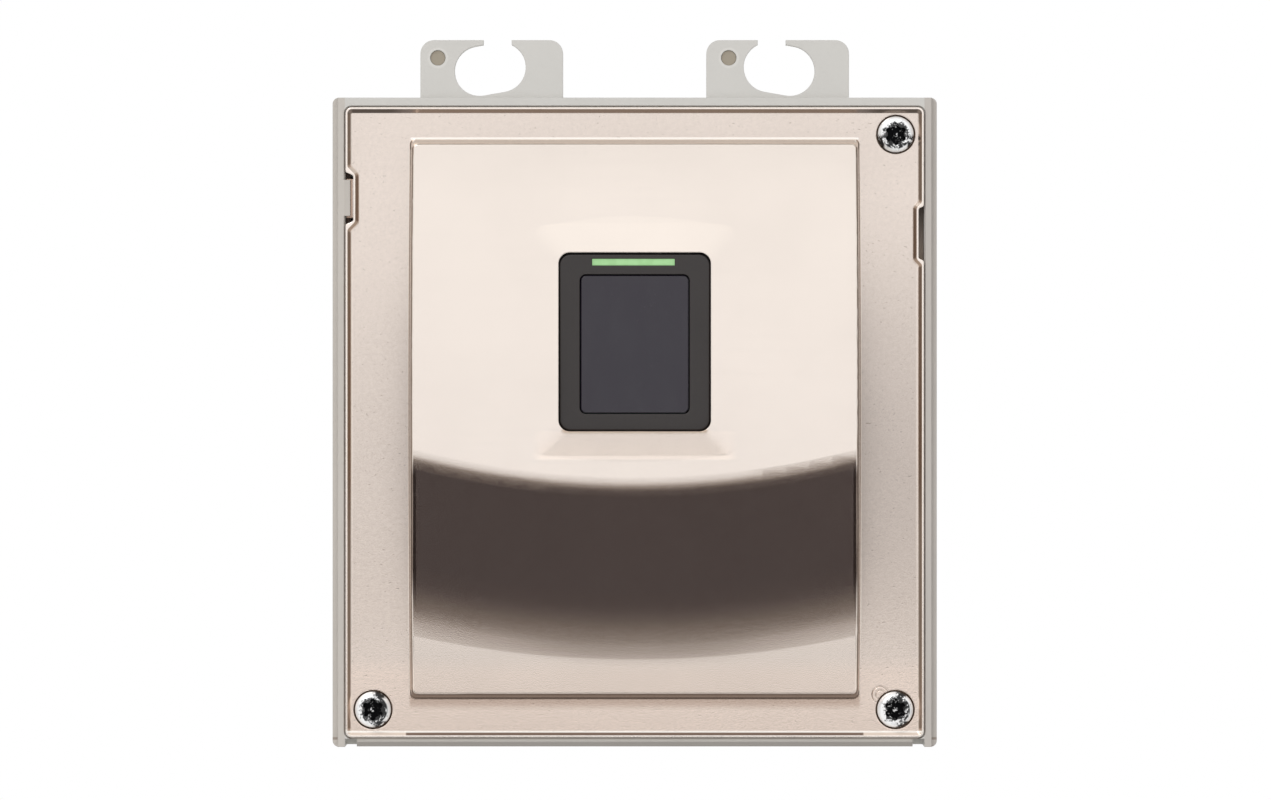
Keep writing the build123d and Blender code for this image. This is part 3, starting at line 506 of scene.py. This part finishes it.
# ---- a look for each material slot --------------------------------------------------------
LOOKS = {
    "plate_metal": plate_metal(),
    "housing_plastic": moulded_plastic("housing_plastic_look", HOUSING_GREY, 0.48, mottle=0.015,
                                       marks=housing_marks),
    "bezel_plastic": moulded_plastic("bezel_plastic_look", (0.0285, 0.0235, 0.0225), 0.42, 0.00025,
                                     edge_wear_and_highlight=(0.25, 2.2)),
    "black_plastic": moulded_plastic("black_plastic_look", (0.022, 0.022, 0.023), 0.45, edge_wear_and_highlight=(0.2, 2.0)),
    "socket_plastic": moulded_plastic("socket_plastic_look", (0.62, 0.58, 0.48), 0.42),
    "chip_plastic": moulded_plastic("chip_plastic_look", (0.030, 0.030, 0.033), 0.50, 0.0002,
                                    edge_wear_and_highlight=(0.2, 1.8)),
    "led_plastic": moulded_plastic("led_plastic_look", (0.75, 0.75, 0.68), 0.25),
    "ferrite": moulded_plastic("ferrite_look", (0.06, 0.058, 0.056), 0.55, 0.0003),
    "flex_film": moulded_plastic("flex_film_look", (0.50, 0.24, 0.05), 0.25, 0.0008),
    "light_guide": light_guide(),
    "rubber": rubber(),
    "platen_glass": platen_glass(),
    "optical_glass": clear_glass(),
    "board": circuit_board(),
    "pin_metal": turned_metal("pin_metal_look", (0.41, 0.365, 0.295), 0.45, darkened=(0.30, 0.26, 0.20)),
    "brass": turned_metal("brass_look", (0.76, 0.56, 0.26), 0.22),
    "plated_steel": turned_metal("plated_steel_look", (0.66, 0.66, 0.64), 0.25),
    "tinned_sheet": turned_metal("tinned_sheet_look", (0.72, 0.72, 0.70), 0.28),
    "capacitor_can": turned_metal("capacitor_can_look", (0.78, 0.78, 0.78), 0.24),
    "contact_gold": turned_metal("contact_gold_look", (0.86, 0.63, 0.26), 0.18),
}
for part in frame["record"]["subparts"]:
    node = part["node"]
    look = screw_metal(node, SCREWS[node]) if node in SCREWS else LOOKS[part["material_slot"]]
    NODES[node].data.materials.clear()
    NODES[node].data.materials.append(look)


# ---- studio -------------------------------------------------------------------------------
def studio_floor():
    """Plain pale floor. The object is held up by its back, well above it."""
    half = FLOOR_SIZE / 2
    corners = [(-half, -half, FLOOR_Z), (half, -half, FLOOR_Z), (half, half, FLOOR_Z), (-half, half, FLOOR_Z)]
    mesh = bpy.data.meshes.new("studio_floor")
    mesh.from_pydata(corners, [], [(0, 1, 2, 3)])
    floor = bpy.data.objects.new("studio_floor", mesh)
    SCENE.collection.objects.link(floor)
    paint = Shader("studio_floor_look")
    paint.set(Base_Color=paint.blend(paint.noise(0.5), (0.80, 0.80, 0.79), (0.84, 0.84, 0.83)), Roughness=0.9)
    mesh.materials.append(paint.material)
    floor.visible_glossy = False


# What the object mirrors straight ahead of it: degrees above the horizon, and a grey or a colour.
CARD = (0.052, 0.039, 0.040)
AHEAD = (
    # the tent is dim low down, up to the foot of the card
    (-90, 0.45), (-64, 0.45), (-40, 0.80), (-24, 0.85),
    # the dark card gets paler towards its top edge
    (-17, CARD), (-8.6, CARD), (-6.5, (0.125, 0.095, 0.080)), (-3.9, (0.21, 0.165, 0.135)),
    (-3.1, (0.28, 0.225, 0.185)),
    # the tent is bright above the card, and dimmer overhead
    (-2.0, (1.08, 1.03, 1.00)), (-1.3, 1.18), (0.2, (1.13, 1.14, 1.19)), (1.7, (1.09, 1.08, 1.10)),
    (3.5, 1.15), (7, 1.25), (45, 1.15), (62, 0.60), (90, 0.60),
)
TENT = (0.95, 0.95, 0.95)         # everywhere else
CARD_REACH = (0.45, 0.25)         # distance aside over distance ahead where it starts and is full
FLAG_START, FLAG_FULL = 0.88, 0.93
FLAG_LEVEL = 0.45                 # light left by the flag at each side, square to the object


def studio_world():
    """Soft light tent with a narrow dark card standing low in front of the object. The camera sees
    plain white behind everything."""
    world = bpy.data.worlds.new("studio")
    world.use_nodes = True
    SCENE.world = world
    w = Graph(world.node_tree)
    x, y, z = w.split(w.node("ShaderNodeTexCoord").outputs["Generated"])
    height = w.spread(w.maths("ARCSINE", z), -math.pi / 2, math.pi / 2, smooth=False)
    ramp = w.node("ShaderNodeValToRGB", {0: height})
    elements = ramp.color_ramp.elements
    while len(elements) < len(AHEAD):
        elements.new(0.5)
    for element, (degrees, level) in zip(elements, AHEAD):
        element.position = (degrees + 90) / 180
        element.color = (*(level if isinstance(level, tuple) else (level,) * 3), 1)
    aside = w.maths("ABSOLUTE", w.maths("DIVIDE", x, y))
    ahead = w.product(w.spread(aside, *CARD_REACH), w.maths("LESS_THAN", y, 0.0))
    flags = w.spread(w.maths("ABSOLUTE", x), FLAG_START, FLAG_FULL, 1.0, FLAG_LEVEL)
    tent = w.blend(ahead, TENT, ramp.outputs[0])
    light = w.node("ShaderNodeBackground", {"Color": tent, "Strength": flags})
    white = w.node("ShaderNodeBackground", {"Color": (1.0, 1.0, 1.0)})
    seen = w.node("ShaderNodeLightPath").outputs["Is Camera Ray"]
    both = w.node("ShaderNodeMixShader", {0: seen, 1: light.outputs[0], 2: white.outputs[0]})
    w.node("ShaderNodeOutputWorld", {"Surface": both.outputs[0]})


def key_light():
    """A soft square lamp that looks at the object."""
    lamp = bpy.data.lights.new("key", "AREA")
    lamp.shape = "RECTANGLE"
    lamp.size = KEY_SIZE
    lamp.size_y = KEY_SIZE
    lamp.energy = KEY_WATTS
    key = bpy.data.objects.new("key", lamp)
    key.location = KEY_PLACE
    key.rotation_euler = (-key.location).to_track_quat("-Z", "Y").to_euler()
    SCENE.collection.objects.link(key)


def camera():
    """Straight on, at the distance that the perspective asks for."""
    low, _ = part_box("front_plate")
    lens = bpy.data.cameras.new("camera")
    lens.sensor_width = SENSOR_MM
    lens.lens = SENSOR_MM * CAMERA_REACH / VIEW_WIDTH
    lens.clip_start, lens.clip_end = 0.01, 20.0
    eye = bpy.data.objects.new("camera", lens)
    eye.location = (VIEW_SHIFT, low.y - CAMERA_REACH, VIEW_LIFT)
    eye.rotation_euler = (math.pi / 2, 0.0, 0.0)
    SCENE.collection.objects.link(eye)
    SCENE.camera = eye


studio_floor()
studio_world()
key_light()
camera()
SCENE.view_settings.view_transform = "Standard"
